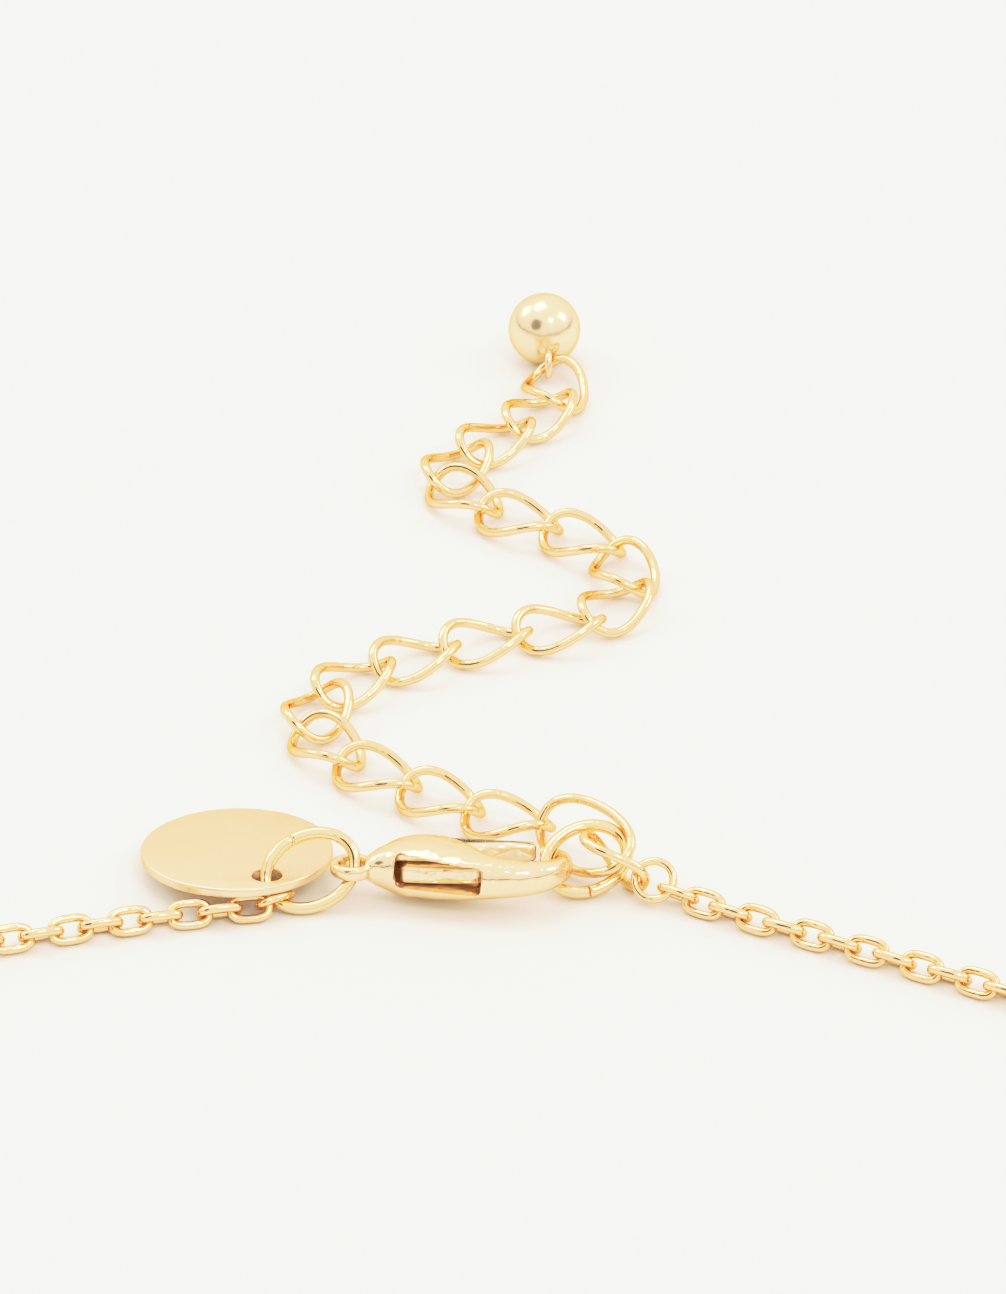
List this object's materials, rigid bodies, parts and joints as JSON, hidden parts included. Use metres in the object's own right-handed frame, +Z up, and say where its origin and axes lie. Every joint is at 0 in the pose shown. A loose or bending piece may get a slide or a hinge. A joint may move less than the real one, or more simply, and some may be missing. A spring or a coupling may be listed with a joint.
{
  "type": "cable chain necklace with extender chain, lobster clasp and disc tag",
  "caption": "Fine cable chain necklace laid on a surface, closed by a lobster clasp in a jump ring, with a plain disc tag and a curb extender chain that ends in a ball.",
  "frame": {"origin": "on the surface that the necklace lies on, under the middle of its bounding box", "axes": "+Z up from the surface, -Y towards the front of the loop, +Y along the extender chain to the ball"},
  "size_m": [0.1352, 0.1812, 0.004],
  "materials": {
    "gold_plate": "polished"
  },
  "bodies": {
    "necklace": {"cable_chain": "gold_plate", "cable_end_link_left": "gold_plate", "cable_end_link_right": "gold_plate", "left_ring": "gold_plate", "disc_tag": "gold_plate", "clasp_body": "gold_plate", "clasp_pin": "gold_plate", "hook_ring": "gold_plate", "connector_link": "gold_plate", "connector_ring": "gold_plate", "extender_link_01": "gold_plate", "extender_link_02": "gold_plate", "extender_link_03": "gold_plate", "extender_link_04": "gold_plate", "extender_link_05": "gold_plate", "extender_link_06": "gold_plate", "extender_link_07": "gold_plate", "extender_link_08": "gold_plate", "extender_link_09": "gold_plate", "extender_link_10": "gold_plate", "extender_link_11": "gold_plate", "extender_link_12": "gold_plate", "extender_link_13": "gold_plate", "extender_link_14": "gold_plate", "extender_link_15": "gold_plate", "extender_link_16": "gold_plate", "extender_link_17": "gold_plate", "extender_link_18": "gold_plate", "extender_link_19": "gold_plate", "end_ball": "gold_plate"},
    "lever": {"clasp_lever": "gold_plate"}
  },
  "joints": [
    {"name": "lever_hinge", "type": "hinge", "parent": "necklace", "child": "lever", "pos_m": [-0.00302, 0.03579, 0.00153], "axis": [0.0061, 0.1735, 0.9848], "range_deg": [-23, 0], "stiffness_Nm_per_rad": 0.002, "springref_deg": 11.46}
  ]
}
